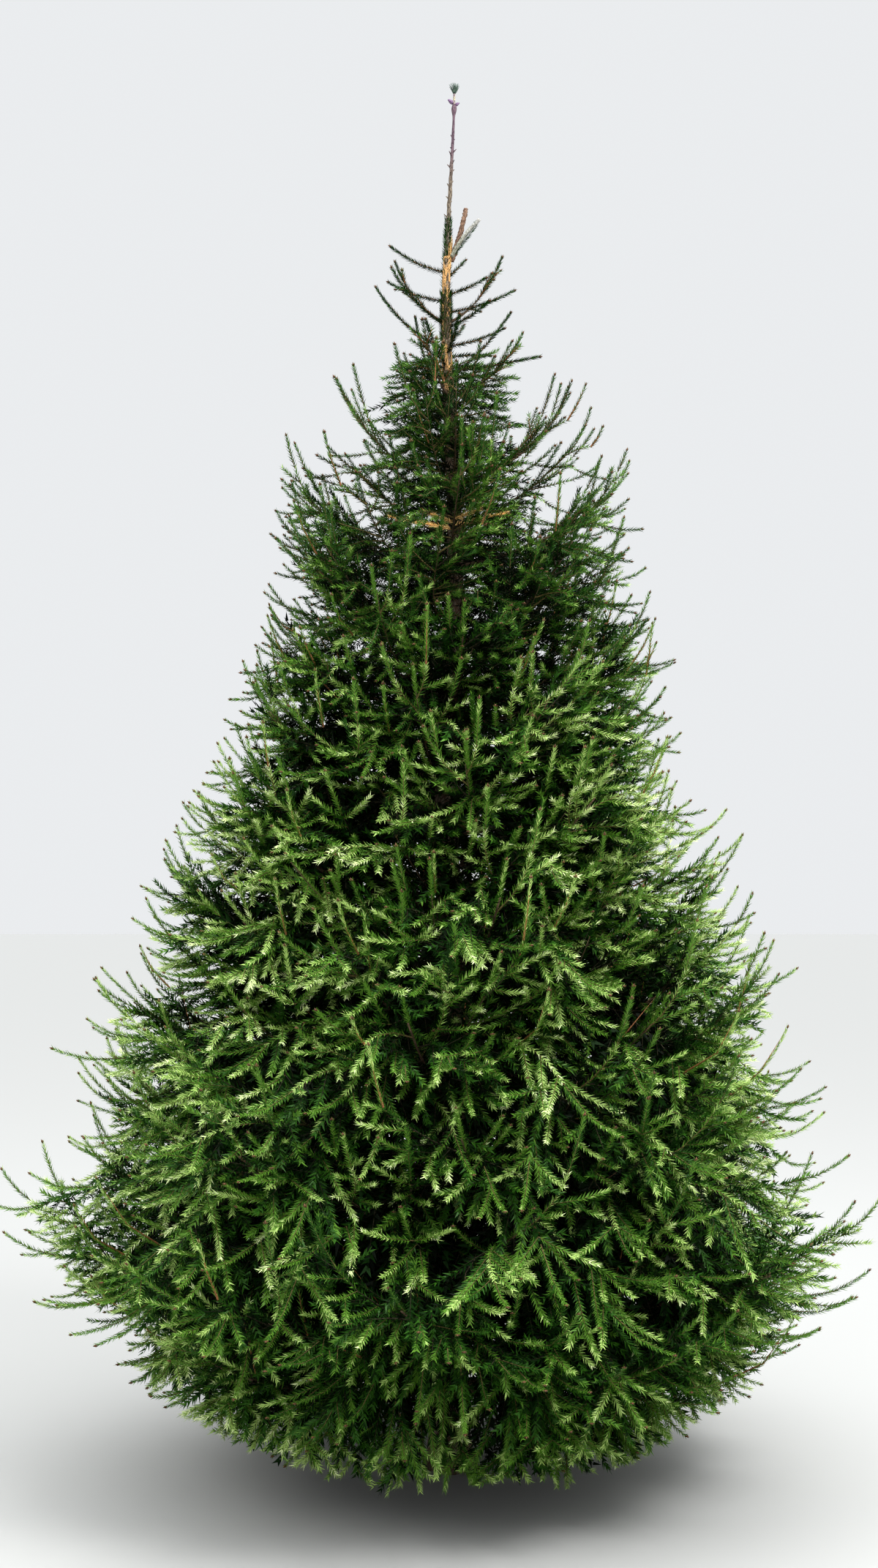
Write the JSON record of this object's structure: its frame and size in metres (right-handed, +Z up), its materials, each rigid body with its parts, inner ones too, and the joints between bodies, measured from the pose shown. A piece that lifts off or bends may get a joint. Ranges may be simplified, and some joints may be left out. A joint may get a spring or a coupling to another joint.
{
  "type": "spruce tree",
  "caption": "Young spruce: one straight trunk with a bare leader and whorls of needled boughs, low ones drooping and upper ones rising, standing rooted on the flat cut at its foot.",
  "frame": {"origin": "centre of the flat cut under the trunk, at ground level", "axes": "+Z up the trunk to the leader, -Y the side that the picture looks at, +X to the right in the picture"},
  "size_m": [2.1005, 2.2719, 3.66],
  "materials": {
    "bark": "matt grey-brown bark with scales and needle scars",
    "bough_bark": "matt brown to orange-brown twig bark",
    "needles": "dark green needles, brighter yellow-green on young shoots",
    "buds": "dry brown bud scales"
  },
  "bodies": {
    "root": {"leader_tuft": "buds", "trunk": "bark", "whorl01_bough1": "bough_bark", "whorl01_bough2": "bough_bark", "whorl01_bough3": "bough_bark", "whorl01_bough4": "bough_bark", "whorl01_bough5": "bough_bark", "whorl01_foliage1": "needles", "whorl01_foliage2": "needles", "whorl01_foliage3": "needles", "whorl01_foliage4": "needles", "whorl01_foliage5": "needles", "whorl02_foliage1": "needles", "whorl02_foliage2": "needles", "whorl02_foliage3": "needles", "whorl02_foliage4": "needles", "whorl02_foliage5": "needles", "whorl03_foliage1": "needles", "whorl03_foliage2": "needles", "whorl03_foliage3": "needles", "whorl03_foliage4": "needles", "whorl03_foliage5": "needles", "whorl04_foliage1": "needles", "whorl04_foliage2": "needles", "whorl04_foliage3": "needles", "whorl04_foliage4": "needles", "whorl04_foliage5": "needles", "whorl05_foliage1": "needles", "whorl05_foliage2": "needles", "whorl05_foliage3": "needles", "whorl05_foliage4": "needles", "whorl06_foliage1": "needles", "whorl06_foliage2": "needles", "whorl06_foliage3": "needles", "whorl06_foliage4": "needles", "whorl07_foliage1": "needles", "whorl07_foliage2": "needles", "whorl07_foliage3": "needles", "whorl07_foliage4": "needles", "whorl08_foliage1": "needles", "whorl08_foliage2": "needles", "whorl08_foliage3": "needles", "whorl08_foliage4": "needles", "whorl09_foliage1": "needles", "whorl09_foliage2": "needles", "whorl09_foliage3": "needles", "whorl09_foliage4": "needles", "whorl10_foliage1": "needles", "whorl10_foliage2": "needles", "whorl10_foliage3": "needles", "whorl10_foliage4": "needles", "whorl11_foliage1": "needles", "whorl11_foliage2": "needles", "whorl11_foliage3": "needles", "whorl11_foliage4": "needles", "whorl12_foliage1": "needles", "whorl12_foliage2": "needles", "whorl12_foliage3": "needles", "whorl13_foliage1": "needles", "whorl13_foliage2": "needles"}
  },
  "joints": []
}
